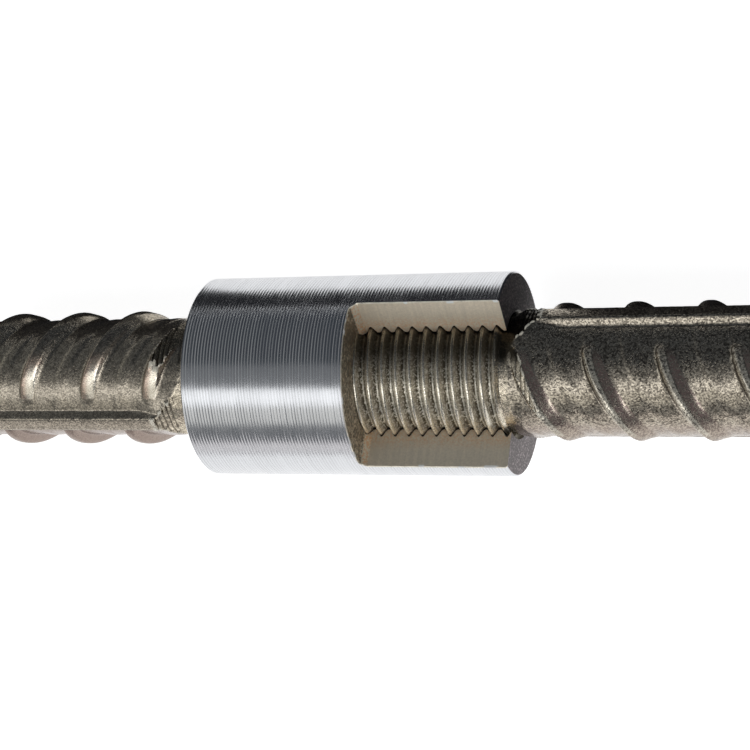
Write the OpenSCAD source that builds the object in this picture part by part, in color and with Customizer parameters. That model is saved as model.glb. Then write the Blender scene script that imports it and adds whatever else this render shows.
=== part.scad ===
// Threaded coupler for ribbed reinforcing bar, cut away over half its length,
// with two bar ends screwed home from either side until they butt at its middle.
// The bars lie along X and the cut-away looks up, along +Z. Angles are in degrees
// from +Z towards +Y. Lengths are millimetres.

/* [Sleeve] */
// Outside diameter of the sleeve
sleeve_od = 35.5; // [30:0.5:45]
// Length of the sleeve
sleeve_length = 56; // [44:1:70]
// Chamfer on the sleeve's two outer edges
edge_break = 0.3; // [0.1:0.1:1]

/* [Cut-away] */
// Where the cut-away starts, measured from the sleeve's middle
window_start = 1.8; // [0:0.1:8]
// Angle that the cut-away opens
window_angle = 107; // [60:1:150]
// Corner left between the end wall and each cut face
window_corner = 1.2; // [0.4:0.1:2]

/* [Thread] */
// Basic major diameter of the parallel thread
thread_d = 24; // [22:0.1:27]
// Pitch of the thread
thread_pitch = 2.5; // [2:0.25:3]
// Radial play between the bar's thread and the sleeve's
thread_play = 0.15; // [0.05:0.05:0.2]
// Place along X of one crest of the bar's thread at the top
thread_phase = 1.89; // [0:0.01:3]
// Chamfer at the start of each bar's thread
thread_lead = 1.2; // [0.5:0.1:2]

/* [Bars] */
// Diameter of a bar's plain core
core_d = 21.3; // [19:0.1:21.5]
// Reach of each bar from the sleeve's middle to its sawn end
bar_reach = 82; // [60:1:120]
// Thread that shows on the left bar beyond the sleeve's mouth
left_spare = 3.4; // [0.2:0.1:10]
// Thread that shows on the right bar beyond the sleeve's mouth
right_spare = 0.4; // [0.2:0.1:10]
// Length of the cone over which the ribs fade in behind the thread
run_out = 8; // [4:0.5:14]
// Direction of the left bar's seam rib
left_seam = -34.7; // [-90:0.1:90]
// Direction of the right bar's seam rib
right_seam = 65.8; // [-90:0.1:90]

/* [Ribs] */
// Height of a cross rib at the middle of its crescent
rib_height = 2.1; // [1:0.1:2.8]
// Width of a cross rib along its crest
rib_top = 1.7; // [1:0.1:3]
// Width of a cross rib at its foot
rib_foot = 3.6; // [2:0.1:5]
// Spacing of the cross ribs along one side
rib_spacing = 12.3; // [9:0.1:16]
// Angle between a cross rib and the bar's axis
rib_angle = 61; // [50:1:75]
// Angle from the middle of a crescent to the point where it dies away
rib_sweep = 72; // [60:1:84]
// Height of the two seam ribs that run along the bar
seam_height = 1.8; // [1:0.1:2.5]
// Width across the top of a seam rib
seam_top = 2.6; // [1.5:0.1:4]
// Width across the foot of a seam rib
seam_foot = 3.8; // [2:0.1:5]
// Place along X of one left-hand cross rib at the middle of its side
left_rib = -57.2; // [-62:0.1:-46]
// Place along X of one right-hand cross rib at the middle of its side
right_rib = 34.4; // [30:0.1:44]

/* [Hidden] */
$fn = 96;
steps = 24;                                // facets in one turn of the thread
half_length = sleeve_length / 2;
sleeve_r = sleeve_od / 2;
left_thread = half_length + left_spare;    // threads outlast the sleeve, so no rib meets it
right_thread = half_length + right_spare;
core_r = core_d / 2;
tri = thread_pitch * sqrt(3) / 2;          // height of the thread's sharp triangle
flank = tan(30);                           // half the thread angle, as width over height
bore_major_r = thread_d / 2;
bore_minor_r = bore_major_r - 5 / 8 * tri;
bolt_major_r = bore_major_r - thread_play;
bolt_minor_r = bore_major_r - 0.7 * tri - thread_play;
crest_flat = thread_pitch / 8;             // flat on the bar's crests and in the sleeve's roots
sunk = 0.25;                               // how far a swept form runs into its neighbour
rib_reach = core_r + rib_height;
rib_offset = rib_height * (2 * core_r + rib_height) / (2 * (rib_reach - core_r * cos(rib_sweep)));
rib_lean = 90 - rib_angle;
steel = "#b9bdc1";
scale_brown = "#5d5348";

// A turned form: the profile holds [radius, x] points.
module turned(profile)
    rotate([90, 0, 90]) rotate_extrude() polygon(profile);

// The point at x along the bar, radius r and angle a.
function at(x, r, a) = [x, r * sin(a), r * cos(a)];

// A right-handed ridge of trapezium section, wound about X from x_from to x_to.
// It is foot wide at foot_r and top wide at top_r, and dies away over half a turn at each end.
module wound_ridge(x_from, x_to, phase, foot_r, foot, top_r, top) {
    first = ceil((x_from - phase) * steps / thread_pitch);
    last = floor((x_to - phase) * steps / thread_pitch);
    fade = steps / 2;
    points = [
        for (i = [first:last])
            let (
                x = phase + i * thread_pitch / steps,
                a = -360 * i / steps,
                full = min(1, (i - first) / fade, (last - i) / fade),
                crest_r = foot_r + (top_r - foot_r) * max(full, 0.12),
                crest = foot + (top - foot) * max(full, 0.12)
            )
            for (p = [
                at(x - foot / 2, foot_r, a),
                at(x - crest / 2, crest_r, a),
                at(x + crest / 2, crest_r, a),
                at(x + foot / 2, foot_r, a)
            ])
            p
    ];
    n = last - first;
    out = top_r > foot_r;
    sides = [
        for (k = [0:n - 1], j = [0:3], half = [0, 1])
            let (
                a = 4 * k + j,
                b = 4 * k + (j + 1) % 4,
                quad = half == 0 ? [a, b, b + 4] : [a, b + 4, a + 4]
            )
            out ? quad : [quad[2], quad[1], quad[0]]
    ];
    near = [[3, 2, 1], [3, 1, 0]];
    far = [[4 * n, 4 * n + 1, 4 * n + 2], [4 * n, 4 * n + 2, 4 * n + 3]];
    caps = out ? concat(near, far) : [for (f = concat(near, far)) [f[2], f[1], f[0]]];
    polyhedron(points, concat(sides, caps));
}

// The sector that the cut-away takes out of the sleeve, less the corners left at its end wall.
module cut_away() {
    half = window_angle / 2;
    reach = 2 * sleeve_r;
    depth = half_length - window_start + 1;
    difference() {
        translate([window_start, 0, 0])
            rotate([90, 0, 90])
                linear_extrude(depth)
                    polygon([
                        [0, 0],
                        [reach * sin(half), reach * cos(half)],
                        [0, reach / cos(half / 2)],
                        [-reach * sin(half), reach * cos(half)]
                    ]);
        for (side = [-1, 1])
            rotate([-side * half, 0, 0])
                translate([window_start, 0, 0])
                    linear_extrude(reach)
                        polygon([
                            [-1, side],
                            [-1, -side * (window_corner + 1)],
                            [window_corner + 1, side]
                        ]);
    }
}

module coupler_sleeve() {
    color(steel)
    difference() {
        turned([
            [bore_minor_r, -half_length],
            [sleeve_r - edge_break, -half_length],
            [sleeve_r, -half_length + edge_break],
            [sleeve_r, half_length - edge_break],
            [sleeve_r - edge_break, half_length],
            [bore_minor_r, half_length]
        ]);
        wound_ridge(
            -half_length - thread_pitch, half_length + thread_pitch, thread_phase,
            bore_minor_r - sunk, crest_flat + 2 * flank * (bore_major_r - bore_minor_r + sunk),
            bore_major_r, crest_flat
        );
        cut_away();
    }
}

// One crescent rib: a leaning disc with sloping flanks, kept only where a cylinder
// that stands off the axis comes out through the core.
module cross_rib(x, middle, lean) {
    inner = core_r - 2;
    outer = rib_reach + 4;
    slope = (rib_foot - rib_top) / 2 / rib_height;
    intersection() {
        translate([x, 0, 0])
            rotate([-middle, 0, 0])
                rotate([0, 0, lean])
                    turned([
                        [inner, -rib_foot / 2 - slope * (core_r - inner)],
                        [rib_reach, -rib_top / 2],
                        [outer, -rib_top / 2],
                        [outer, rib_top / 2],
                        [rib_reach, rib_top / 2],
                        [inner, rib_foot / 2 + slope * (core_r - inner)]
                    ]);
        translate(at(x, rib_offset, middle))
            rotate([0, 90, 0])
                cylinder(r = rib_reach - rib_offset, h = 4 * core_r, center = true);
    }
}

// A seam rib along the bar from x = 0 to its sawn end, at one angle.
module seam_rib(angle) {
    slope = (seam_foot - seam_top) / 2 / seam_height;
    root = core_r - 1;
    root_w = seam_foot / 2 + slope * 1;
    rotate([-angle, 0, 0])
        rotate([90, 0, 90])
            linear_extrude(bar_reach)
                polygon([
                    [-root_w, root],
                    [root_w, root],
                    [seam_top / 2, core_r + seam_height],
                    [-seam_top / 2, core_r + seam_height]
                ]);
}

// The rolled bar from x = 0 to its sawn end at bar_reach, before its end is peeled and threaded.
// Its two rows of cross ribs stand half a spacing apart and lean opposite ways.
module rolled_bar(seam, rib_at, lean) {
    count = ceil(bar_reach / rib_spacing) + 1;
    rotate([0, 90, 0]) cylinder(r = core_r, h = bar_reach);
    seam_rib(seam);
    seam_rib(seam + 180);
    for (k = [-count:count]) {
        front = rib_at + k * rib_spacing;
        back = front + rib_spacing / 2;
        if (front > run_out && front < bar_reach + rib_spacing)
            cross_rib(front, seam - 90, lean);
        if (back > run_out && back < bar_reach + rib_spacing)
            cross_rib(back, seam + 90, -lean);
    }
}

// A threaded bar that reaches from x = 0 along +X.
module threaded_bar(seam, rib_at, lean, thread_length, phase) {
    ridge_foot = crest_flat + 2 * flank * (bolt_major_r - bolt_minor_r + sunk);
    intersection() {
        rolled_bar(seam, rib_at, lean);
        turned([
            [0, thread_length],
            [core_r - 0.2, thread_length],
            [rib_reach + 0.3, thread_length + run_out],
            [rib_reach + 0.3, bar_reach],
            [0, bar_reach]
        ]);
    }
    turned([
        [0, 0],
        [bolt_minor_r - thread_lead / 2, 0],
        [bolt_minor_r, thread_lead / 2],
        [bolt_minor_r, thread_length],
        [0, thread_length]
    ]);
    wound_ridge(
        thread_lead, thread_length, phase,
        bolt_minor_r - sunk, ridge_foot,
        bolt_major_r, crest_flat
    );
}

module left_bar() {
    color(scale_brown)
        rotate([0, 0, 180])
            threaded_bar(-left_seam, -left_rib, -rib_lean, left_thread, -thread_phase);
}

module right_bar() {
    color(scale_brown)
        threaded_bar(right_seam, right_rib, rib_lean, right_thread, thread_phase);
}

coupler_sleeve();
left_bar();
right_bar();
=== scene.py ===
"""Looks of a cut-away rebar coupler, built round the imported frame.

The sleeve and the two bars are each a blank that a Geometry Nodes tree works to shape, as the
lathe, the rolling mill and the thread roller work the real ones.
Angles are measured about X, from +Z towards +Y. Lengths are metres.
"""

import math

import bpy
from mathutils import Matrix, Vector


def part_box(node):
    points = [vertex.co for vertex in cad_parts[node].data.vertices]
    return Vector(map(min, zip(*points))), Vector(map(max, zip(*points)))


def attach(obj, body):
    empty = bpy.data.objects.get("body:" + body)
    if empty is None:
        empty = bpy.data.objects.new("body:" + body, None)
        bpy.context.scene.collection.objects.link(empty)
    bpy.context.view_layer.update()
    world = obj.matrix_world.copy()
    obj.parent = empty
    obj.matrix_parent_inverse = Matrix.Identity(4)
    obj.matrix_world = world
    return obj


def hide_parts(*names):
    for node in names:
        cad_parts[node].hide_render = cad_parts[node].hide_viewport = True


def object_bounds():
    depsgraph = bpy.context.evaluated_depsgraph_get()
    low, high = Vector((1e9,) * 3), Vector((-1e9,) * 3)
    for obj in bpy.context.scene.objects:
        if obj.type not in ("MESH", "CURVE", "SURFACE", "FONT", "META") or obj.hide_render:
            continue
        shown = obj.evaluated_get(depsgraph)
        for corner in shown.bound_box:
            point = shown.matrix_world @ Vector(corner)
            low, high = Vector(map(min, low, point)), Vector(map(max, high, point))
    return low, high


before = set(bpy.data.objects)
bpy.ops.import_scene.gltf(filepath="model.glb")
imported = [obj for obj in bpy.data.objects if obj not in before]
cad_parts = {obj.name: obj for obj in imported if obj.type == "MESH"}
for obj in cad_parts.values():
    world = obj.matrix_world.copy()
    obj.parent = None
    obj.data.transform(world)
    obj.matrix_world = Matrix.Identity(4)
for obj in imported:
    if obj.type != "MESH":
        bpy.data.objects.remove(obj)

bl_info = {
    "name": "Rebar coupler",
    "version": (1, 0, 0),
    "blender": (4, 5, 0),
    "location": "3D View > Sidebar > Coupler",
    "description": "Builds a threaded sleeve, cut away over two ribbed bars, and its stage",
    "category": "Add Mesh",
}

MM = 0.001
HAIR = 1e-9    # less than any distance that matters
BAR_FACETS = 296    # points round a bar
TURNED, MILLED, THREADED, FACED = range(4)    # kinds of face on the sleeve's blank
SKIN, SAWN = range(2)    # kinds of face on a bar's blank
WHITE = (1.0, 1.0, 1.0)

CAD_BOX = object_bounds()
SLEEVE_LOW, SLEEVE_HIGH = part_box("coupler_sleeve")
LEFT_LOW, LEFT_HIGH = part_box("left_bar")
RIGHT_LOW, RIGHT_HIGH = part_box("right_bar")


# ---- sizes and colours


def length(name, description, millimetres, least=0.0, most=200.0):
    """A length that the user can change, given in millimetres and kept in metres."""
    return bpy.props.FloatProperty(
        name=name, description=description, default=millimetres * MM,
        min=least * MM, max=most * MM, unit="LENGTH", precision=5,
    )


def angle(name, description, degrees):
    """An angle that the user can change, given in degrees and kept in radians."""
    return bpy.props.FloatProperty(
        name=name, description=description, default=math.radians(degrees),
        min=-math.pi, max=math.pi, unit="ROTATION",
    )


def colour(name, description, value):
    """A colour that the user can change."""
    return bpy.props.FloatVectorProperty(
        name=name, description=description, default=value, size=3,
        min=0.0, max=1.0, subtype="COLOR",
    )


def share(name, description, value, most=1.0):
    """A plain number that the user can change."""
    return bpy.props.FloatProperty(
        name=name, description=description, default=value, min=0.0, max=most,
    )


class CouplerSleeveSizes(bpy.types.PropertyGroup):
    edge_break: length("Edge break", "Chamfer on the sleeve's two outer edges", 0.3)
    window_start: length("Window start", "Where the cut-away starts, from the middle", 1.8)
    window_half: angle("Window half angle", "Half of the angle that the cut-away opens", 53.5)
    window_corner: length("Window corner", "Metal left where end wall and cut face meet", 1.2)
    rim: length("Rim", "Deburred edge round the cut-away", 0.14)
    feed: length("Feed", "Distance between two turning grooves", 0.55)
    feed_depth: length("Feed depth", "Depth of a turning groove", 0.035)


class CouplerThreadSizes(bpy.types.PropertyGroup):
    pitch: length("Pitch", "Pitch of the thread", 2.5)
    phase: length("Phase", "Place along the bars of one crest at the top", 1.89)
    crest_flat: length("Crest flat", "Flat on the bar's crests", 0.3125)
    bolt_major: length("Bar crest radius", "Radius over the bar's thread", 11.85)
    bolt_minor: length("Bar root radius", "Radius at the root of the bar's thread", 10.334)
    bore_major: length("Sleeve root radius", "Radius at the root of the sleeve's thread", 12.0)
    bore_minor: length("Sleeve crest radius", "Radius inside the sleeve's thread", 10.647)


class CouplerBarSizes(bpy.types.PropertyGroup):
    core_radius: length("Core radius", "Radius of the plain core", 10.65)
    rib_height: length("Rib height", "Height of a cross rib at the middle of its crescent", 2.1)
    rib_top: length("Rib crest width", "Width of a cross rib along its crest", 1.2)
    rib_foot: length("Rib foot width", "Width of a cross rib at its foot", 3.7)
    rib_spacing: length("Rib spacing", "Spacing of the cross ribs along one side", 12.3)
    rib_lean: angle("Rib lean", "Lean of a cross rib away from square to the bar", 25.0)
    left_front_sweep: angle("Left sweep", "From a left rib's middle to where it dies away", 72.0)
    right_front_sweep: angle("Right sweep", "The same for the right ribs in front", 60.0)
    back_sweep: angle("Back sweep", "The same for the ribs on the far side", 80.0)
    left_rib_tilt: share("Left tilt", "Share of its height that a left rib's top loses per metre",
                     200.0, 500.0)
    right_rib_tilt: share("Right tilt", "The same for a right rib", 420.0, 500.0)
    seam_height: length("Seam height", "Height of a seam rib", 1.8)
    seam_top: length("Seam crest width", "Width across the top of a seam rib", 2.6)
    seam_foot: length("Seam foot width", "Width across the foot of a seam rib", 3.9)
    run_out: length("Run-out", "Length over which the ribs rise behind the thread", 8.0)
    tool_feed: length("Tool feed", "Distance between two marks of the peeling tool", 0.8)
    left_tool_depth: length("Left tool depth", "Depth of its marks on the left bar", 0.22)
    right_tool_depth: length("Right tool depth", "Depth of its marks on the right bar", 0.121)
    left_seam_angle: angle("Left seam", "Direction of the left bar's seam rib", -34.7)
    right_seam_angle: angle("Right seam", "Direction of the right bar's seam rib", 65.8)
    left_first_rib: length("Left rib", "Place of one left cross rib", -57.2, -200.0)
    right_first_rib: length("Right rib", "Place of one right cross rib", 34.7, -200.0)
    left_thread_length: length("Left thread", "Length of thread on the left bar", 31.4)
    right_thread_length: length("Right thread", "Length of thread on the right bar", 28.4)


class CouplerFinish(bpy.types.PropertyGroup):
    steel: colour("Turned steel", "Bright metal of the sleeve", (0.69, 0.70, 0.72))
    milled: colour("Milled steel", "Metal of the cut faces, under oil", (1.0, 0.895, 0.715))
    faced: colour("Faced end", "Dark rough metal of the sleeve's two ends", (0.105, 0.090, 0.092))
    scale_dark: colour("Mill scale", "Dark skin of the rolled bars", (0.068, 0.057, 0.045))
    scale_light: colour("Rubbed scale", "Skin that has been rubbed", (0.77, 0.69, 0.56))
    copper: colour("Worn rib", "Warm metal of the left bar's ribs", (0.60, 0.44, 0.35))
    # Brown used as painted shade on the right bar's ribs, on the side that faces away from the
    # light; the bars' undersides take it as a tint.
    lee: colour("Dark rib", "Brown flanks of the right bar's ribs", (0.29, 0.215, 0.195))
    # The dark root colour also paints shade: over the peeled metal, on the upper side of the bars'
    # thread, where the right bar's thread runs under the sleeve, and towards the top of the end
    # wall.
    thread_root: colour("Thread root", "Oiled metal low in the threads", (0.075, 0.062, 0.040))
    thread_flank: colour("Thread flank", "Metal between root and crest", (0.74, 0.66, 0.53))
    # The pale crest colour also paints highlights: on both bars' ribs, in the thread's crests and
    # roots, on the burr and along the sleeve's outer rim.
    thread_crest: colour("Thread crest", "Rubbed metal on the crests", (0.90, 0.85, 0.72))


class CouplerStage(bpy.types.PropertyGroup):
    lens: share("Lens", "Focal length in millimetres on a 36 mm sensor", 91.15, 300.0)
    strip: share("Strip", "Brightness of the narrow lamp above", 1.17, 20.0)
    front: share("Front", "Brightness of the lamp in front", 0.62, 20.0)
    low: share("Low", "Brightness of the low lamp in front", 0.80, 20.0)
    fill: share("Fill", "Brightness of the wide lamp round the others", 0.14, 20.0)
    glint: share("Glint", "Brightness of the small lamp past the right bar", 2.6, 20.0)
    room: colour("Room", "Colour of the dim room behind the lamps", (0.049, 0.056, 0.067))
    ends: colour("Room end", "Colour of the room's lighter end", (0.42, 0.43, 0.43))
    # The dark card is a sheet that only the metal sees in its reflections: painted shade.
    card_near: length("Card near", "Near edge of the dark card, behind the bars", 6.0)
    card_behind: length("Card behind", "Edge of its cut-out, behind the sleeve", 53.0)
    card_far: length("Card far", "Far edge of the dark card", 600.0, 0.0, 2000.0)


# ---- node building


def does(operation):
    """A method of a wire that runs one operation of the maths node on it."""
    return lambda self, *others: self.maths(operation, *others)


class Wire:
    """A number that varies over a surface: one socket of a node tree, with arithmetic."""

    def __init__(self, tree, socket):
        self.tree, self.socket = tree, socket

    def maths(self, operation, *others, clamp=False):
        """The result of one maths node on this wire and the others."""
        node = add(self.tree, "ShaderNodeMath", operation=operation, use_clamp=clamp)
        return Wire(self.tree, supply(self.tree, node, self, *others).outputs[0])

    __add__ = __radd__ = does("ADD")
    __sub__, __mul__, __truediv__ = does("SUBTRACT"), does("MULTIPLY"), does("DIVIDE")
    sin, cos, tan, angle_from = does("SINE"), does("COSINE"), does("TANGENT"), does("ARCTAN2")
    sqrt, size, power = does("SQRT"), does("ABSOLUTE"), does("POWER")
    at_least, at_most, beyond = does("MAXIMUM"), does("MINIMUM"), does("GREATER_THAN")
    blend_low, blend_high = does("SMOOTH_MIN"), does("SMOOTH_MAX")
    floor, fraction = does("FLOOR"), does("FRACT")

    def __neg__(self): return self * -1.0
    def __rsub__(self, other): return (-self) + other
    def matches(self, other): return self.maths("COMPARE", other, 0.1)
    def clamped(self): return self.maths("ADD", 0.0, clamp=True)

    def past_nearest(self, spacing):
        """Signed distance past the nearest whole multiple of spacing."""
        return ((self / spacing + 0.5).fraction() - 0.5) * spacing

    def step(self, low, high, out_low=0.0, out_high=1.0):
        """Rises smoothly from out_low at low to out_high at high."""
        node = add(self.tree, "ShaderNodeMapRange", interpolation_type="SMOOTHSTEP")
        supply(self.tree, node, self, low, high, out_low, out_high)
        return Wire(self.tree, node.outputs[0])

    def step_degrees(self, low, high):
        """Rises smoothly from 0 at one angle to 1 at another, both given in degrees."""
        return self.step(math.radians(low), math.radians(high))

    def towards(self, other, amount):
        """Moves from this value to the other as amount goes from 0 to 1."""
        return self + (other - self) * amount


def add(tree, kind, **settings):
    """A new node, placed in reading order, with its settings."""
    node = tree.nodes.new(kind)
    count = len(tree.nodes) - 1
    node.location = (200 * (count // 8), -180 * (count % 8))
    for key, value in settings.items():
        setattr(node, key, value)
    return node


def plug(tree, slot, value):
    """Links a wire into a slot, or sets the slot to a plain value."""
    if isinstance(value, Wire):
        tree.links.new(value.socket, slot)
    elif isinstance(value, bpy.types.NodeSocket):
        tree.links.new(value, slot)
    else:
        slot.default_value = value


def supply(tree, node, *values, **named):
    """Plugs values into a node's inputs, in order or by name, and returns the node."""
    for slot, value in zip(node.inputs, values):
        plug(tree, slot, value)
    for label, value in named.items():
        plug(tree, node.inputs[label.replace("_", " ")], value)
    return node


SOCKETS = {
    "length": ("Float", "DISTANCE"), "angle": ("Float", "ANGLE"), "number": ("Float", "NONE"),
    "vector": ("Vector", None), "geometry": ("Geometry", None), "material": ("Material", None),
}


def sockets(what, *labels):
    """Rows for several sockets of one kind."""
    return [(label, what) for label in labels]


def new_tree(name, kind, inputs, outputs):
    """A node tree with named sockets: the tree, its input wires by name and its output node."""
    tree = bpy.data.node_groups.new(name, kind)
    for direction, rows in (("INPUT", inputs), ("OUTPUT", outputs)):
        for label, what, *default in rows:
            family, subtype = SOCKETS[what]
            socket = tree.interface.new_socket(
                label, in_out=direction, socket_type="NodeSocket" + family)
            if subtype:
                socket.subtype = subtype
            if default:
                socket.default_value = default[0]
    entry = add(tree, "NodeGroupInput")
    wires = {s.name: Wire(tree, s) for s in entry.outputs if s.name}
    return tree, wires, add(tree, "NodeGroupOutput")


def parts_of(tree, vector):
    """A vector as three wires."""
    split = supply(tree, add(tree, "ShaderNodeSeparateXYZ"), vector)
    return [Wire(tree, s) for s in split.outputs]


def place_of(tree, vector):
    """A position as three wires, and its angle about X."""
    x, y, z = parts_of(tree, vector)
    return x, y, z, y.angle_from(z)


def bare_place(tree):
    """The place of each point of the blank: its x, and its angle about X."""
    x, _y, _z, turn = place_of(tree, add(tree, "GeometryNodeInputPosition").outputs[0])
    return x, turn


def read_mark(tree, label):
    """A named attribute of the blank as a wire."""
    node = add(tree, "GeometryNodeInputNamedAttribute", data_type="FLOAT")
    node.inputs["Name"].default_value = label
    return Wire(tree, node.outputs["Attribute"])


def keep_mark(tree, geometry, label, wire):
    """Stores a wire on the points under a name that the materials read."""
    node = add(tree, "GeometryNodeStoreNamedAttribute", data_type="FLOAT", domain="POINT")
    supply(tree, node, Geometry=geometry, Name=label, Value=wire)
    return node.outputs["Geometry"]


def reshape(tree, geometry, x, turn, radius):
    """Moves each point to that radius about X, at the place and angle that it has."""
    join = add(tree, "ShaderNodeCombineXYZ")
    supply(tree, join, x, radius * turn.sin(), radius * turn.cos())
    node = add(tree, "GeometryNodeSetPosition")
    supply(tree, node, Geometry=geometry, Position=join.outputs[0])
    return node.outputs["Geometry"]


def close_tree(tree, geometry, exit_node, coats):
    """Ends a shape tree: instances made real, then each material on its own faces."""
    geometry = supply(tree, add(tree, "GeometryNodeRealizeInstances"), geometry).outputs[0]
    for selection, material in coats:
        node = add(tree, "GeometryNodeSetMaterial")
        supply(tree, node, Geometry=geometry, Selection=selection, Material=material)
        geometry = node.outputs["Geometry"]
    supply(tree, exit_node, geometry)


def ripple(tree, scale, detail=2.0, stretch=(1.0, 1.0, 1.0), vector=None, seed=0.0):
    """Noise about 0, as a wire. Stretch draws it out along an axis where it is below 1."""
    move = add(tree, "ShaderNodeVectorMath", operation="MULTIPLY_ADD")
    source = vector if vector is not None else add(tree, "GeometryNodeInputPosition").outputs[0]
    supply(tree, move, source, stretch, (seed, seed * 0.37, -seed))
    node = add(tree, "ShaderNodeTexNoise", noise_dimensions="3D")
    supply(tree, node, Vector=move.outputs[0], Scale=scale, Detail=detail)
    return Wire(tree, node.outputs[0]) - 0.5


def thread_turns(x, turn, phase, pitch):
    """Turns of a right-handed thread up to a place, whole along its crest."""
    return (x - phase) / pitch + turn / math.tau


def helix_profile(x, turn, w, high, low):
    """Radius of a thread of 60 degrees between two radii, rounded at both."""
    off = thread_turns(x, turn, w["Phase"], w["Pitch"]).past_nearest(1.0).size() * w["Pitch"]
    slope = (off - w["Crest Flat"] / 2) * math.sqrt(3)
    return (high - slope).blend_low(high, 0.3 * MM).blend_high(low, 0.5 * MM)


# ---- shape trees


def sleeve_tree():
    """Turns the outside of a sleeve blank and cuts the thread in its bore."""
    tree, w, out = new_tree(
        "coupler_turned_sleeve", "GeometryNodeTree",
        [("Blank", "geometry"),
         *sockets("length", "Outside Radius", "Half Length", "Edge Break", "Feed", "Feed Depth",
                  "Root Radius", "Crest Radius", "Pitch", "Phase", "Crest Flat"),
         *sockets("material", "Turned", "Milled", "Threaded", "Faced")],
        [("Sleeve", "geometry")],
    )
    x, turn = bare_place(tree)
    from_end = w["Half Length"] - x.size()
    groove = (x * math.tau / w["Feed"]).cos() * 0.5 + 0.5
    uneven = ripple(tree, 1500.0, 1.0, (1.0, 0.02, 0.02)) + 0.7
    outside = w["Outside Radius"] - (w["Edge Break"] - from_end).at_least(0.0)
    outside = outside - groove * uneven * w["Feed Depth"]
    root, crest = w["Root Radius"], w["Crest Radius"]
    bore = helix_profile(x, turn, w, root, crest)
    depth = (bore - crest) / (root - crest)
    geometry = keep_mark(tree, w["Blank"], "depth", depth)
    geometry = reshape(tree, geometry, x, turn, bore.towards(outside, read_mark(tree, "wall")))
    kind = read_mark(tree, "kind")
    others = ((MILLED, "Milled"), (THREADED, "Threaded"), (FACED, "Faced"))
    close_tree(tree, geometry, out,
               [(True, w["Turned"]), *((kind.matches(n), w[label]) for n, label in others)])
    return tree


def rib_row(x, turn, middle, first, lean_sign, sweep, tilt, fullness, w):
    """A row of leaning crescent ribs: height over the core, share up the flank, place across."""
    core, tallest, foot, flat, lean = (
        w[label] for label in ("Core Radius", "Rib Height", "Rib Foot", "Rib Top", "Rib Lean"))
    # The crescent's outline is an arc struck from a point off the bar's axis.
    rise = tallest * (core * 2.0 + tallest)
    offset = rise / ((core + tallest - core * sweep.cos()) * 2.0)
    around = turn - middle
    across = offset * around.sin()
    arc = core + tallest - offset
    crescent = offset * around.cos() + (arc * arc - across * across).at_least(0.0).sqrt()
    share_up = ((crescent - core) / tallest).at_least(0.0)
    height = share_up.power(fullness) * tallest
    # Its middle line leans along the bar, and it narrows towards its tips.
    swing = lean.tan() * (core + height * 0.7) * around.sin() * lean_sign
    off = (x - first - swing).past_nearest(w["Rib Spacing"]) * lean.cos()
    steep = (foot - flat) / 2.0 / tallest
    narrow = share_up.at_most(1.0).sqrt() * 0.5 + 0.5
    flank = (foot / 2.0 * narrow - off.size()) / steep
    top = height * (1.0 - (off + flat / 2.0) * tilt)
    up_flank = (flank / top.at_least(0.05 * MM)).clamped()
    return (flank.blend_low(top, 0.8 * MM), up_flank * share_up.step(0.02, 0.25),
            off * 2.0 / foot)


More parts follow.
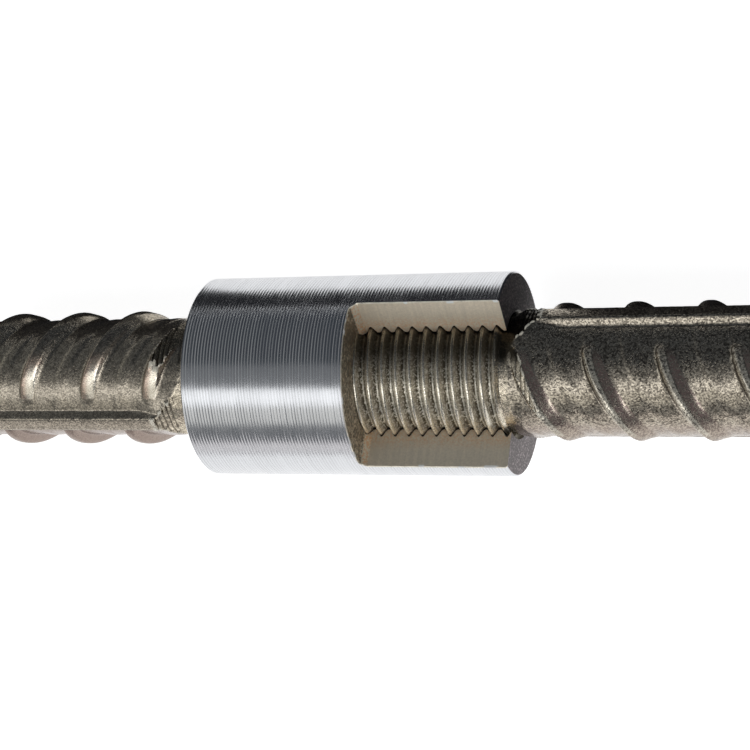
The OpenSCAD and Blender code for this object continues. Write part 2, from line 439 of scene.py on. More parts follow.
def bar_tree():
    """Rolls ribs and seams on a bar blank, then peels and threads its end."""
    tree, w, out = new_tree(
        "coupler_rolled_bar", "GeometryNodeTree",
        [("Blank", "geometry"), *sockets("number", "Side", "Rib Tilt"),
         *sockets("angle", "Rib Lean", "Front Sweep", "Back Sweep", "Seam Angle"),
         *sockets("length", "Core Radius", "Rib Height", "Rib Top", "Rib Foot", "Rib Spacing",
                  "First Rib", "Seam Height", "Seam Top", "Seam Foot", "Crest Radius",
                  "Root Radius", "Thread Length", "Run Out", "Tool Feed", "Tool Depth",
                  "Pitch", "Phase", "Crest Flat"),
         *sockets("material", "Skin", "Sawn")],
        [("Bar", "geometry")],
    )
    x, turn = bare_place(tree)
    side, core, seam_at, first = (
        w[label] for label in ("Side", "Core Radius", "Seam Angle", "First Rib"))
    crest, root, thread_end = w["Crest Radius"], w["Root Radius"], w["Thread Length"]
    out_along = x * side
    past = (out_along - thread_end).at_least(0.0)
    quarter = side * (math.pi / 2)
    front, front_up, front_across = rib_row(
        x, turn, seam_at - quarter, first, -side, w["Front Sweep"], w["Rib Tilt"], 0.75, w)
    back, back_up, back_across = rib_row(
        x, turn, seam_at + quarter, first + w["Rib Spacing"] / 2.0, side, w["Back Sweep"],
        0.0, 0.4, w)
    aside = (turn - seam_at).sin().size() * core
    seam_slope = (w["Seam Foot"] - w["Seam Top"]) / 2.0 / w["Seam Height"]
    seam = ((w["Seam Foot"] / 2.0 - aside) / seam_slope).blend_low(w["Seam Height"], 0.35 * MM)
    # The core swells a little towards each seam, and more just behind the thread.
    swell = (1.0 - aside / (7.0 * MM)).at_least(0.0).power(1.5) * (0.42 * MM)
    swell = swell * past.step(10.0 * MM, 3.0 * MM, 1.0, 5.0)
    raised = front.at_least(back).blend_high(swell, 0.75 * MM).blend_high(seam, 0.55 * MM)
    rough = 0.05 * MM
    uneven = ripple(tree, 420.0, 3.0) * rough + ripple(tree, 1500.0, 2.0) * rough
    rolled = core + raised + uneven - rough

    thread = helix_profile(x, turn, w, crest, root)
    profile = (thread - root) / (crest - root)
    bare = root + 0.12 * MM + ripple(tree, 1100.0, 3.0) * (0.22 * MM)
    fade = out_along.step(thread_end - 2.1 * MM, thread_end - 0.9 * MM)
    threaded = thread.towards(bare, fade)
    climb = (core + w["Rib Height"] + 0.5 * MM - root) / w["Run Out"]
    wander = ripple(tree, 260.0, 1.0, seed=9.0) * 0.25
    groove = ((past / w["Tool Feed"] + wander) * math.tau - turn).cos() * -0.5 + 0.5
    groove = groove.power(2.5) * past.step(0.8 * MM, 2.4 * MM)
    jag = ripple(tree, 650.0, 2.0, seed=4.0) * (1.6 * MM) * past.step(0.2 * MM, 1.5 * MM)
    peeled = bare + (past + jag) * climb - groove * w["Tool Depth"]
    # A torn burr stands where the peeled cone breaks out through the seam.
    depth, burr_size = rolled - peeled, 0.26 * MM
    burr = (1.0 - (depth / burr_size).size()).at_least(0.0)
    burr = burr * (ripple(tree, 1300.0, 2.0, seed=3.0) * 3.0 + 0.9).at_least(0.0).at_most(1.2)
    burr = burr * raised.step(0.3 * MM, 0.7 * MM)
    outer = rolled.blend_low(peeled, 0.06 * MM) + burr * burr_size
    behind = out_along.beyond(thread_end)
    surface = threaded.towards(outer, behind)

    cut = depth.step(-0.03 * MM, 0.06 * MM).at_least(1.0 - behind)
    on_thread = (1.0 - fade) * (1.0 - behind)
    geometry = w["Blank"]
    for label, wire in (
        ("cut", cut),
        ("crest", profile.towards((1.0 - groove) * 0.7, 1.0 - on_thread)),
        ("thread", on_thread),
        ("burr", burr * behind),
        ("rib", front_up.at_least(back_up) * (1.0 - cut)),
        ("across", front_across.towards(back_across, back_up.beyond(front_up))),
    ):
        geometry = keep_mark(tree, geometry, label, wire)
    geometry = reshape(tree, geometry, x, turn, surface * read_mark(tree, "reach"))
    close_tree(tree, geometry, out,
               [(True, w["Skin"]), (read_mark(tree, "kind").matches(SAWN), w["Sawn"])])
    return tree


# ---- blanks


def steps_between(low, high, spacing):
    """Evenly spaced values from low up to, and without, high."""
    count = max(1, round((high - low) / spacing))
    return [low + (high - low) * i / count for i in range(count)]


def stations_over(*spans):
    """Places along X over spans that follow on, each with its low end, high end and spacing."""
    return [*(x for span in spans for x in steps_between(*span)), spans[-1][1]]


def new_object(name, data):
    """An object of the scene that holds that data."""
    holder = bpy.data.objects.new(name, data)
    bpy.context.scene.collection.objects.link(holder)
    return holder


def new_blank(name, points, faces, kinds, marks):
    """A mesh object at the origin with a kind on each face and named marks on its points."""
    mesh = bpy.data.meshes.new(name)
    mesh.from_pydata(points, [], faces)
    mesh.attributes.new("kind", "FLOAT", "FACE").data.foreach_set("value", kinds)
    for label, values in marks.items():
        mesh.attributes.new(label, "FLOAT", "POINT").data.foreach_set("value", values)
    mesh.update()
    return new_object(name, mesh)


def bar_blank(name, stations, around, radius):
    """A closed round billet. Its end faces are rings that shrink to the axis."""
    shrunk = (0.25, 0.5, 0.75, 0.93, 0.985)
    rings = [(stations[0], f) for f in shrunk]
    rings += [(x, 1.0) for x in stations]
    rings += [(stations[-1], f) for f in reversed(shrunk)]
    points, reach = [], []
    for x, fraction in rings:
        for j in range(around):
            a = math.tau * j / around
            r = radius * fraction
            points.append((x, r * math.sin(a), r * math.cos(a)))
            reach.append(fraction)
    faces, kinds = [], []
    for i in range(len(rings) - 1):
        kind = SAWN if rings[i][0] == rings[i + 1][0] else SKIN
        for j in range(around):
            k = (j + 1) % around
            faces.append((i * around + j, (i + 1) * around + j,
                          (i + 1) * around + k, i * around + k))
            kinds.append(kind)
    last = (len(rings) - 1) * around
    for first, x, flip in ((0, stations[0], False), (last, stations[-1], True)):
        hub = len(points)
        points.append((x, 0.0, 0.0))
        reach.append(0.0)
        for j in range(around):
            k = (j + 1) % around
            fan = (hub, first + j, first + k)
            faces.append(fan[::-1] if flip else fan)
            kinds.append(SAWN)
    return new_blank(name, points, faces, kinds, {"reach": reach})


def sleeve_blank(name, sizes, thread, outside, half_length):
    """A closed tube with a sector left out of its wall, ready for the turning tree."""
    start, corner, half = sizes.window_start, sizes.window_corner, sizes.window_half
    end_break, spacing = sizes.edge_break, sizes.feed / 4
    stations = [
        -half_length, *stations_over((-half_length + end_break, start - sizes.rim, spacing)),
        *stations_over((start, half_length - end_break, spacing)), half_length]
    wall_at = stations.index(start)
    last = len(stations) - 1
    open_steps, wall_steps = 30, 74
    total = open_steps + wall_steps
    angles = [-half + 2 * half * j / open_steps for j in range(open_steps)]
    angles += [half + (math.tau - 2 * half) * j / wall_steps for j in range(wall_steps)]
    depths = [0.0, 0.04, 0.1, 0.2, 0.3, 0.4, 0.5, 0.6, 0.7, 0.8, 0.9, 0.975, 1.0]
    top = len(depths) - 1
    bore = thread.bore_minor
    pull_along, pull_round = 3 * MM, math.radians(16)    # how far a corner draws the wall with it
    points, walls, index = [], [], {}

    def point(i, j, w):
        """The number of the point at station i, angle j and depth w in the wall."""
        j %= total
        if (i, j, w) in index:
            return index[i, j, w]
        x, a = stations[i], angles[j]
        r = bore + (outside - bore) * depths[w]
        signed = (a + math.pi) % math.tau - math.pi
        left = corner * (1 - (start - x) / pull_along) if x < start else corner - (x - start)
        shift = math.asin(min(1.0, max(0.0, left) / r))
        if w == top and x >= start - HAIR and j in (0, open_steps):
            shift -= sizes.rim / r
        away = abs(signed) - half
        if away <= HAIR:
            signed *= (half - shift) / half
        else:
            signed -= math.copysign(shift * max(0.0, 1 - away / pull_round), signed)
        if w == top and i == wall_at and 0 < j < open_steps:
            x -= sizes.rim
        index[i, j, w] = len(points)
        points.append((x, r * math.sin(signed), r * math.cos(signed)))
        walls.append(depths[w])
        return index[i, j, w]

    faces, kinds = [], []

    def quad(kind, i, j, w, first, second):
        """A face of that kind from one point, by a first step and a second one."""
        (a, b, c), (d, e, f) = first, second
        faces.append((point(i, j, w), point(i + a, j + b, w + c),
                      point(i + a + d, j + b + e, w + c + f), point(i + d, j + e, w + f)))
        kinds.append(kind)

    along, about, out = (1, 0, 0), (0, 1, 0), (0, 0, 1)
    for i in range(last):
        for j in range(open_steps if i >= wall_at else 0, total):
            quad(TURNED, i, j, top, along, about)
            quad(THREADED, i, j, 0, about, along)
    for w in range(top):
        for j in range(total):
            quad(FACED, 0, j, w, out, about)
            if j < open_steps:
                quad(MILLED, wall_at, j, w, about, out)
            else:
                quad(FACED, last, j, w, about, out)
        for i in range(wall_at, last):
            quad(MILLED, i, 0, w, out, along)
            quad(MILLED, i, open_steps, w, along, out)
    return new_blank(name, points, faces, kinds, {"wall": walls})


def work(blank, tree, values, sharp):
    """Runs a shape tree on a blank and keeps a plain mesh, with edges sharp from that angle."""
    modifier = blank.modifiers.new("work", "NODES")
    modifier.node_group = tree
    for item in tree.interface.items_tree:
        if item.item_type == "SOCKET" and item.in_out == "INPUT" and item.name != "Blank":
            modifier[item.identifier] = values[item.name]
    blank.update_tag()
    bpy.context.view_layer.update()
    worked = blank.evaluated_get(bpy.context.evaluated_depsgraph_get())
    mesh = bpy.data.meshes.new_from_object(worked)
    blank.modifiers.clear()
    unworked = blank.data
    blank.data = mesh
    bpy.data.meshes.remove(unworked)
    mesh.name = blank.name
    mesh.shade_smooth()
    mesh.set_sharp_from_angle(angle=math.radians(sharp))
    return blank


# ---- materials


def shader_group(name, inputs, outputs):
    """The shader group of that name, and its wires if it is new."""
    if name in bpy.data.node_groups:
        return bpy.data.node_groups[name], None, None
    return new_tree(name, "ShaderNodeTree", inputs, outputs)


def speckle_group():
    """Fine patches of rubbed metal on a skin, the grit among them, and the relief of both."""
    tree, w, out = shader_group(
        "coupler_speckle",
        [("Vector", "vector"), ("Scale", "number", 3200.0), ("Share", "number", 0.5)],
        [("Mask", "number"), ("Grit", "number"), ("Height", "number")],
    )
    if w is None:
        return tree
    cells = add(tree, "ShaderNodeTexVoronoi")
    supply(tree, cells, Vector=w["Vector"], Scale=w["Scale"] * 1.2)
    split = supply(tree, add(tree, "ShaderNodeSeparateColor"), cells.outputs["Color"])
    grit = Wire(tree, split.outputs[0])
    fine = ripple(tree, w["Scale"], 3.0, vector=w["Vector"])
    broad = ripple(tree, w["Scale"] * 0.2, 2.0, vector=w["Vector"], seed=5.0)
    mixed = fine + broad * 0.2 + (w["Share"] - 0.5) * 0.4
    supply(tree, out, Mask=mixed.step(-0.24, 0.24), Grit=grit,
           Height=fine * 0.5 + broad * 0.5 + grit * 0.3)
    return tree


def speckle(tree, coords, scale, amount):
    """The speckle group in a material: its outputs as wires by name."""
    return use_group(tree, speckle_group(), Vector=coords, Scale=scale, Share=amount)


def lathe_group():
    """Even feed lines that a tool leaves round the X axis, no two quite alike."""
    tree, w, out = shader_group(
        "coupler_lathe_lines",
        [("Vector", "vector"), ("Feed", "number", 0.55 * MM)],
        [("Lines", "number"), ("Bands", "number")],
    )
    if w is None:
        return tree
    turns = parts_of(tree, w["Vector"])[0] / w["Feed"]
    own = add(tree, "ShaderNodeTexWhiteNoise", noise_dimensions="1D")
    supply(tree, own, W=turns.floor())
    deep = Wire(tree, own.outputs["Value"]) * 0.6 + 0.4
    groove = (turns * math.tau).cos() * 0.5 + 0.5
    fine = ripple(tree, 5200.0, 2.0, (1.0, 0.004, 0.004), w["Vector"])
    broad = ripple(tree, 420.0, 2.0, (1.0, 0.08, 0.08), w["Vector"], 7.0)
    supply(tree, out, Lines=(1.0 - groove * deep + fine * 0.9).clamped(),
           Bands=broad * 1.8 + 0.5)
    return tree


def new_material(name):
    """A material with an empty tree but for its shader and output, and its object coordinates."""
    material = bpy.data.materials.new(name)
    material.use_nodes = True
    tree = material.node_tree
    tree.nodes.clear()
    out = add(tree, "ShaderNodeOutputMaterial")
    shader = add(tree, "ShaderNodeBsdfPrincipled")
    supply(tree, out, Surface=shader.outputs[0])
    coords = add(tree, "ShaderNodeTexCoord").outputs["Object"]
    return material, tree, shader, coords


def use_group(tree, group, **values):
    """A group in a material, with its inputs set. Returns its outputs as wires."""
    node = supply(tree, add(tree, "ShaderNodeGroup", node_tree=group), **values)
    return {s.name: Wire(tree, s) for s in node.outputs}


def mark(tree, label):
    """A mark that the shape tree left on the points, as a wire."""
    return Wire(tree, add(tree, "ShaderNodeAttribute", attribute_name=label).outputs["Fac"])


def rgba(value):
    """A colour as a socket takes it."""
    return (*value, 1.0)


def dim(value, factor):
    """A colour with each channel multiplied."""
    return tuple(c * factor for c in value)


def tint(tree, amount, first, second):
    """Mixes two colours by a wire."""
    node = add(tree, "ShaderNodeMix", data_type="RGBA")
    plug(tree, node.inputs["Factor"], amount)
    for slot, value in ((node.inputs[6], first), (node.inputs[7], second)):
        plug(tree, slot, value if isinstance(value, bpy.types.NodeSocket) else rgba(value))
    return node.outputs[2]


def coat(tree, shade, *layers):
    """Lays colours over a first one, each as far as its own wire says."""
    for amount, value in layers:
        shade = tint(tree, amount, shade, value)
    return shade


def dress(tree, shader, shade, metallic, roughness, relief, strength, distance):
    """Feeds a look to the shader: its colour, metal and roughness, and its relief as a bump."""
    bump = add(tree, "ShaderNodeBump")
    supply(tree, bump, Height=relief, Strength=strength, Distance=distance)
    supply(tree, shader, Base_Color=shade, Metallic=metallic, Roughness=roughness,
           Normal=bump.outputs[0])


def turned_material(finish, feed):
    """Bright steel with the lathe's feed lines."""
    material, tree, shader, coords = new_material("turned_steel")
    lines = use_group(tree, lathe_group(), Vector=coords, Feed=feed)
    spots = speckle(tree, coords, 1500.0, 0.3)
    # The colour darkens at the bottom of each feed groove: painted shade over the grooves' real
    # relief.
    shade = coat(tree, dim(finish.steel, 0.80), (lines["Lines"], finish.steel),
                 (spots["Mask"] * 0.2, dim(finish.steel, 0.85)))
    roughness = 0.17 + lines["Bands"] * 0.08
    dress(tree, shader, shade, 1.0, roughness, lines["Lines"], 0.75, 0.032 * MM)
    return material


def milled_material(finish, window_start, outside):
    """The cut faces, with a film of oil, and the cut-away's torn end wall, in painted shade
    towards its top, with painted highlights and glints along the sleeve's outer edge.
    """
    material, tree, shader, coords = new_material("milled_steel")
    spots = speckle(tree, coords, 3000.0, 0.5)
    mask, grit = spots["Mask"], spots["Grit"]
    marks = ripple(tree, 1900.0, 3.0, (1.0, 0.06, 0.06), coords) + 0.5
    x, y, z, turn = place_of(tree, coords)
    radius = (y * y + z * z).sqrt()
    deep = radius.step(15.0 * MM, 12.0 * MM)
    corner = x.step(window_start + 1.30 * MM, window_start + 1.10 * MM)
    end_wall = x.step(window_start + 0.35 * MM, window_start + 0.15 * MM)
    patches = ripple(tree, 1500.0, 3.0, vector=coords, seed=2.0) * 1.8 + grit * 0.8
    # Painted shade: the end wall's colour darkens towards its top.
    patches = patches - turn.step_degrees(-30, 45) * 0.35
    torn = tint(tree, patches.step(-0.1, 1.2), finish.thread_root, finish.milled)
    # A pale, smoother band along the outer rim: the deburred edge, painted bright as a highlight.
    edge = radius.step(outside - 0.30 * MM, outside - 0.08 * MM)
    # Painted glints: white specks just inside the sleeve's outer rim.
    painted_glints = ripple(tree, 380.0, 1.0, vector=coords, seed=6.0).step(0.10, 0.15)
    painted_glints = painted_glints * radius.step(outside - 0.55 * MM, outside - 0.35 * MM)
    stain = tuple(c * f for c, f in zip(finish.milled, (0.85, 0.52, 0.28)))
    shade = coat(
        tree, dim(finish.milled, 0.88),
        (marks.step(0.25, 0.75), finish.milled),
        (mask * 0.15 + grit * 0.25, dim(finish.milled, 0.62)),
        (deep * mask * 0.55, stain),
        (corner * grit.step(0.45, 0.75) * 0.6, stain),
        (end_wall * 0.85, torn),
        (edge, finish.thread_crest),
        (painted_glints, (1.0, 1.0, 0.97)),
    )
    roughness = 0.40 + mask * 0.12 - edge * 0.15
    relief = marks + spots["Height"] * 0.4
    dress(tree, shader, shade, 0.5 - painted_glints * 0.5, roughness, relief, 0.4, 0.04 * MM)
    return material


def bore_material(finish):
    """The sleeve's thread, dark in its roots, with paler specks towards its crests."""
    material, tree, shader, coords = new_material("sleeve_thread")
    spots = speckle(tree, coords, 2200.0, 0.35)
    shade = coat(tree, finish.thread_root,
                 (spots["Mask"] * (1.0 - mark(tree, "depth")), dim(finish.thread_crest, 0.55)))
    dress(tree, shader, shade, 0.8, 0.4, spots["Height"], 0.3, 0.03 * MM)
    return material


def faced_material(finish):
    """The sleeve's dark ends, with pale specks."""
    material, tree, shader, coords = new_material("faced_end")
    spots = speckle(tree, coords, 2600.0, 0.35)
    shade = coat(tree, finish.faced, (spots["Mask"].step(0.35, 0.8), dim(finish.faced, 3.6)))
    dress(tree, shader, shade, 0.7, 0.5, spots["Height"], 0.5, 0.04 * MM)
    return material


def bar_material(finish, thread_sizes, window_half):
    """A bar: mill scale with rubbed ribs painted in light and shade, the torn metal behind its
    thread, and the thread with painted shade and highlights.
    """
    material, tree, shader, coords = new_material("rolled_bar")
    spots = speckle(tree, coords, 3400.0, 0.5)
    grains = speckle(tree, coords, 6000.0, 0.5)
    grain, grit = grains["Mask"].step(0.2, 0.85), spots["Grit"].step(0.0, 1.0)
    cut, crest, rib, across, thread, burr = (
        mark(tree, label) for label in ("cut", "crest", "rib", "across", "thread", "burr"))
    x, _y, _z, turn = place_of(tree, coords)
    right_side = x.step(-1.0 * MM, 1.0 * MM)
    root, ridge = finish.thread_root, finish.thread_crest

    speck = spots["Mask"] * 0.35 + grit * 0.65 - 0.5
    under = turn.step_degrees(-36, -52) * (0.75 - right_side * 0.3)
    speck = speck * (0.6 + right_side * 0.45) * (1.0 - under * 0.6) + 0.47
    # The left bar's ribs are rubbed warm only on their lower, lit side: wear and painted light. A
    # painted highlight runs past the middle of each.
    worn_and_lit = rib.step(0.25, 0.65) * turn.step_degrees(36, 20) * turn.step_degrees(-32, -20)
    worn_and_lit = worn_and_lit * (1.0 - right_side)
    bright = across.step(-0.30, 0.25) * across.step(1.0, 0.85) * (grain * 0.5 + 0.5)
    bright = bright * worn_and_lit * turn.step_degrees(26, 12)
    # The right bar's ribs, from left to right: a painted shadow at the foot, a painted lit crest
    # and a brown side in painted shade.
    painted_foot_shadow = rib.step(0.01, 0.08) * rib.step(0.40, 0.18) * across.step(-0.3, -0.6) * right_side
    lit = rib.step(0.22, 0.5) * across.step(0.12, 0.0) * right_side
    lit = lit * (grit * 0.5 + 0.1 + across.step(-0.22, -0.05) * 0.3)
    lit = lit * turn.step_degrees(-60, -38)
    lee = rib.step(0.1, 0.6) * across.step(0.05, 0.25) * right_side
    lee = lee * turn.step_degrees(38, 15) * turn.step_degrees(-54, -28) * (1.0 - grit * 0.75)
    skin = coat(
        tree, finish.scale_dark,
        (speck, finish.scale_light),
        (under * 0.9, finish.lee),
        (worn_and_lit * (grain * 0.7 + 0.2), finish.copper),
        (bright, ridge),
        (lee, finish.lee),
        (painted_foot_shadow * 0.85, finish.scale_dark),
        (lit * turn.step_degrees(34, 12), ridge),
    )

    shaded = turn.step_degrees(12, 27) * (0.72 + right_side * 0.25)
    peeled = coat(
        tree, root,
        (crest.step(0.05, 0.55) * (grain * 0.45 + spots["Mask"] * 0.5 + 0.15), finish.milled),
        (shaded, dim(root, 0.35)),
    )

    off = thread_turns(x, turn, thread_sizes.phase, thread_sizes.pitch)
    # Painted highlight: a pale line in each thread root.
    painted_root_highlight = (off + 0.48).past_nearest(1.0).size().step(0.10, 0.03)
    scratch = ripple(tree, 4200.0, 2.0, (1.0, 0.05, 0.05), coords).step(0.02, 0.22)
    # The crests are rubbed pale, wider on the lower side where the light falls: wear and painted
    # highlight. The upper side darkens as painted shade, and pale specks are painted sparkle.
    low = turn.step_degrees(8, -25)
    rubbed = crest.step(0.80 - low * 0.22, 0.95 - low * 0.12) * (grain * 0.5 + 0.5)
    painted_top_shade = turn.step_degrees(8, 34) * (1.0 - rubbed * 0.25)
    threaded = coat(
        tree, root,
        (crest.step(0.0, 0.6), finish.thread_flank),
        ((1.0 - grain) * 0.6, root),
        (grit.step(0.70, 0.88) * 0.9, ridge),
        (painted_root_highlight * (grain * 0.5 + 0.4), ridge),
        (scratch * 0.55, root),
        (rubbed, ridge),
        (painted_top_shade * 0.9, root),
    )
    # Painted shadow: the right bar's thread darkens where it runs under the window's cut faces.
    painted_contact_shadow = turn.size().step(window_half - math.radians(4.5), window_half - math.radians(1.0))
    painted_contact_shadow = painted_contact_shadow * thread * x.step(-0.5 * MM, 0.5 * MM)
    metal = coat(tree, peeled, (thread, threaded), (painted_contact_shadow * 0.9, dim(root, 0.2)))

    # The burr is painted pale and not metal: a painted highlight on the real burr.
    torn = burr.step(0.35, 0.65)
    shade = coat(tree, skin, (cut, metal), (torn, ridge))
    metallic = 0.95 - torn * 0.9 - (lee + lit) * 0.5 - thread * (1.0 - rubbed) * 0.45
    polished = bright + lee * 0.3
    roughness = 0.26 - grain * 0.08 - polished * 0.09 - thread * 0.06
    relief = spots["Height"] * (1.0 + cut * (1.0 - thread) * 1.5 - polished * 0.4)
    relief = relief + grains["Height"] * 0.25
    dress(tree, shader, shade, metallic, roughness, relief, 0.6, 0.06 * MM)
    return material


def sawn_material(finish):
    """A sawn end, with the saw's marks across it."""
    material, tree, shader, coords = new_material("sawn_end")
    marks = ripple(tree, 1600.0, 2.0, (1.0, 1.0, 0.04), coords) + 0.5
    shade = coat(tree, dim(finish.steel, 0.6), (marks, finish.steel))
    dress(tree, shader, shade, 1.0, 0.36, marks, 0.5, 0.05 * MM)
    return material


def matt_material(name, value):
    """A surface of the stage without any shine: the material, its tree and its shader."""
    material, tree, shader, _coords = new_material(name)
    supply(tree, shader, Base_Color=rgba(value), Roughness=0.9, Specular_IOR_Level=0.0)
    return material, tree, shader


def floor_material():
    """A matt floor that glows white to the eye and to bright metal, and still takes a shadow."""
    material, tree, shader = matt_material("floor_white", (0.60, 0.60, 0.60))
    path = add(tree, "ShaderNodeLightPath")
    seen, glossy, through = (
        Wire(tree, path.outputs[f"Is {ray} Ray"]) for ray in ("Camera", "Glossy", "Transmission"))
    strength = (seen * 0.90).at_least(glossy.at_least(through) * 0.83)
    glow = supply(tree, add(tree, "ShaderNodeEmission"), Strength=strength)
    both = supply(tree, add(tree, "ShaderNodeAddShader"), shader.outputs[0], glow.outputs[0])
    out = next(n for n in tree.nodes if n.type == "OUTPUT_MATERIAL")
    supply(tree, out, Surface=both.outputs[0])
    return material


# ---- operators


def socket_values(settings, start=""):
    """The values of the settings whose names start so, under the names that the sockets have."""
    keys = [key for key in type(settings).__annotations__ if key.startswith(start)]
    labels = [key.removeprefix(start).replace("_", " ").title() for key in keys]
    return {label: getattr(settings, key) for label, key in zip(labels, keys)}


class COUPLER_OT_sleeve(bpy.types.Operator):
    """Turn the sleeve, cut its thread and mill its window"""

    bl_idname = "coupler.sleeve"
    bl_label = "Sleeve"

    def execute(self, context):
        scene = context.scene
        sizes, thread, finish = scene.coupler_sleeve, scene.coupler_thread, scene.coupler_finish
        outside, half_length = SLEEVE_HIGH.z, SLEEVE_HIGH.x
        if outside <= thread.bore_major:
            raise RuntimeError("the sleeve's wall is thinner than its thread")
        blank = sleeve_blank("turned_sleeve", sizes, thread, outside, half_length)
        values = {
            **socket_values(sizes), **socket_values(thread),
            "Outside Radius": outside, "Half Length": half_length,
            "Root Radius": thread.bore_major, "Crest Radius": thread.bore_minor,
            "Turned": turned_material(finish, sizes.feed),
            "Milled": milled_material(finish, sizes.window_start, outside),
            "Threaded": bore_material(finish), "Faced": faced_material(finish),
        }
        piece = work(blank, sleeve_tree(), values, sharp=34)
        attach(piece, "root")
        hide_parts("coupler_sleeve")
        return {"FINISHED"}


class COUPLER_OT_bars(bpy.types.Operator):
    """Roll the two bars and thread their ends"""

    bl_idname = "coupler.bars"
    bl_label = "Bars"

    def execute(self, context):
        scene = context.scene
        sizes, thread, finish = scene.coupler_bars, scene.coupler_thread, scene.coupler_finish
        tree = bar_tree()
        shared = {
            **socket_values(sizes), **socket_values(thread),
            "Root Radius": thread.bolt_minor, "Crest Radius": thread.bolt_major,
            "Skin": bar_material(finish, thread, scene.coupler_sleeve.window_half),
            "Sawn": sawn_material(finish),
        }
        # Stations lie close on the threads and run-outs that show, and wide where hidden.
        left_x = stations_over(
            (LEFT_LOW.x, -36 * MM, 0.28 * MM), (-36 * MM, -27 * MM, 0.2 * MM),
            (-27 * MM, LEFT_HIGH.x, 1.2 * MM))
        right_x = stations_over(
            (RIGHT_LOW.x, 1.5 * MM, 0.5 * MM), (1.5 * MM, 34 * MM, 0.21 * MM),
            (34 * MM, RIGHT_HIGH.x, 0.3 * MM))
        for name, node, start, side, stations in (
            ("rolled_left_bar", "left_bar", "left_", -1.0, left_x),
            ("rolled_right_bar", "right_bar", "right_", 1.0, right_x),
        ):
            blank = bar_blank(name, stations, BAR_FACETS, sizes.core_radius)
            values = {**shared, **socket_values(sizes, start), "Side": side}
            piece = work(blank, tree, values, sharp=60)
            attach(piece, "root")
            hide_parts(node)
        return {"FINISHED"}


def add_lamp(name, spot, size, radiance, tone=WHITE):
    """A rectangular soft lamp of that radiance, aimed at the origin."""
    data = bpy.data.lights.new(name, "AREA")
    data.shape = "RECTANGLE"
    data.size, data.size_y = size
    data.energy = radiance * math.pi * size[0] * size[1]
    data.color = tone
    lamp = new_object(name, data)
    lamp.location = spot
    lamp.rotation_mode = "QUATERNION"
    lamp.rotation_quaternion = (-Vector(spot)).to_track_quat("-Z", "Y")


def lay_sheet(name, outline, height, material):
    """A flat sheet of the stage with that outline in X and Y."""
    mesh = bpy.data.meshes.new(name)
    mesh.from_pydata([(x, y, height) for x, y in outline], [], [range(len(outline))])
    mesh.materials.append(material)
    sheet = new_object(name, mesh)
    return sheet


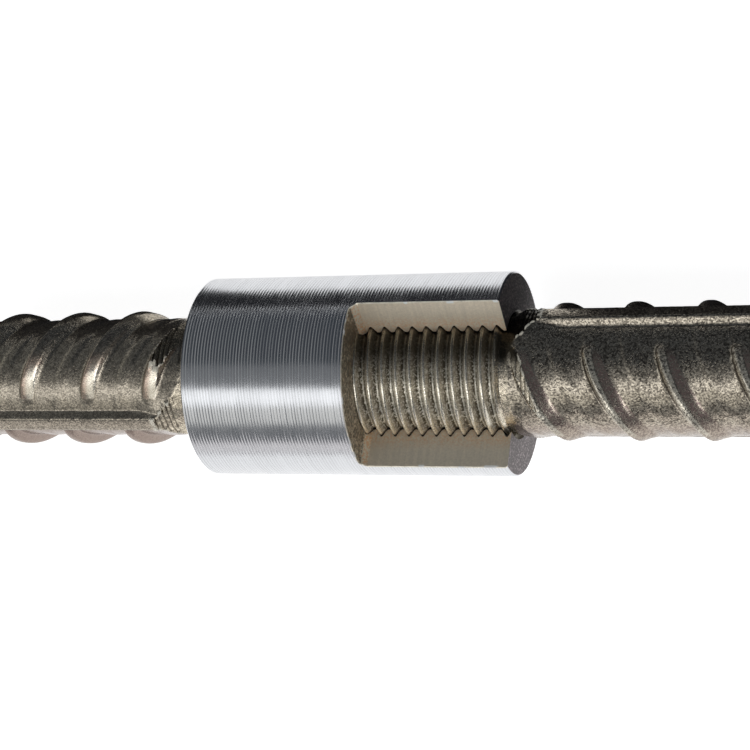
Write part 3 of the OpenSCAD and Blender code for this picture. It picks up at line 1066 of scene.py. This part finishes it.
class COUPLER_OT_stage(bpy.types.Operator):
    """Lay the floor, hang the lamps and set the camera"""

    bl_idname = "coupler.stage"
    bl_label = "Stage"

    def execute(self, context):
        scene, stage = context.scene, context.scene.coupler_stage
        low, reach = CAD_BOX[0].z, 4.0
        floor = [(-reach, -reach), (reach, -reach), (reach, reach), (-reach, reach)]
        lay_sheet("floor", floor, low, floor_material())
        near, behind, far, side = stage.card_near, stage.card_behind, stage.card_far, 0.6
        left, right = SLEEVE_LOW.x - 14 * MM, SLEEVE_HIGH.x + 2 * MM
        outline = [(-side, near), (left, near), (left, behind), (right, behind),
                   (right, near), (side, near), (side, far), (-side, far)]
        # A black sheet on the floor, seen only in the metal's reflections: painted shade, standing
        # in for a shadowed floor behind the object.
        black = matt_material("card_black", (0.055, 0.055, 0.06))[0]
        card = lay_sheet("painted_shade_card", outline, low + 0.1 * MM, black)
        card.visible_camera = card.visible_diffuse = card.visible_shadow = False

        away = 0.7
        for name, degrees, width, long, radiance, tone in (
            ("strip_lamp", -15.0, 20.0, 2.0, stage.strip, WHITE),
            ("front_lamp", -36.0, 22.0, 0.9, stage.front, (1.0, 0.98, 0.92)),
            ("low_lamp", -79.0, 16.0, 2.0, stage.low, (1.0, 0.955, 0.955)),
            ("fill_lamp", -22.0, 88.0, 0.9, stage.fill, WHITE),
        ):
            a = math.radians(degrees)
            spot = (0.0, away * math.sin(a), away * math.cos(a))
            wide = 2 * away * math.tan(math.radians(width / 2))
            add_lamp(name, spot, (long, wide), radiance, tone)
        add_lamp("glint_lamp", (0.47, -0.24, 0.49), (0.18, 0.26), stage.glint)

        world = bpy.data.worlds.new("room")
        world.use_nodes = True
        tree = world.node_tree
        heading = parts_of(tree, add(tree, "ShaderNodeTexCoord").outputs["Generated"])[0]
        endwards = (-heading).step(0.30, 0.95)
        supply(tree, tree.nodes["Background"],
               Color=tint(tree, endwards, stage.room, stage.ends))
        scene.world = world

        data = bpy.data.cameras.new("camera")
        data.lens, data.sensor_width = stage.lens, 36.0
        data.clip_start, data.clip_end = 0.01, 20.0
        camera = new_object("camera", data)
        eye, aim = Vector((0.1098, 0.0543, 0.3141)), Vector((0.00185, 0.0, 0.0))
        upward = Vector((0.0083, 0.985, -0.170))
        back = (eye - aim).normalized()
        right = upward.cross(back).normalized()
        turn = Matrix((right, back.cross(right), back)).transposed()
        camera.matrix_world = Matrix.Translation(eye) @ turn.to_4x4()
        scene.camera = camera
        scene.view_settings.view_transform = "Standard"
        return {"FINISHED"}


class COUPLER_PT_panel(bpy.types.Panel):
    """Lists what builds the coupler, with its sizes and finishes"""

    bl_idname = "COUPLER_PT_panel"
    bl_label = "Rebar coupler"
    bl_space_type = "VIEW_3D"
    bl_region_type = "UI"
    bl_category = "Coupler"

    def draw(self, context):
        for operator in OPERATORS:
            self.layout.operator(operator.bl_idname)
        for label, group in SETTINGS.items():
            box = self.layout.box()
            for key in group.__annotations__:
                box.prop(getattr(context.scene, label), key)


SETTINGS = {
    "coupler_sleeve": CouplerSleeveSizes,
    "coupler_thread": CouplerThreadSizes,
    "coupler_bars": CouplerBarSizes,
    "coupler_finish": CouplerFinish,
    "coupler_stage": CouplerStage,
}
OPERATORS = (COUPLER_OT_stage, COUPLER_OT_sleeve, COUPLER_OT_bars)


def register():
    for cls in (*SETTINGS.values(), *OPERATORS, COUPLER_PT_panel):
        bpy.utils.register_class(cls)
    for label, group in SETTINGS.items():
        setattr(bpy.types.Scene, label, bpy.props.PointerProperty(type=group))


def unregister():
    for label in SETTINGS:
        delattr(bpy.types.Scene, label)
    for cls in reversed((*SETTINGS.values(), *OPERATORS, COUPLER_PT_panel)):
        bpy.utils.unregister_class(cls)


def main():
    """Builds everything in order."""
    register()
    bpy.ops.coupler.stage()
    bpy.ops.coupler.sleeve()
    bpy.ops.coupler.bars()


if __name__ == "__main__":
    main()
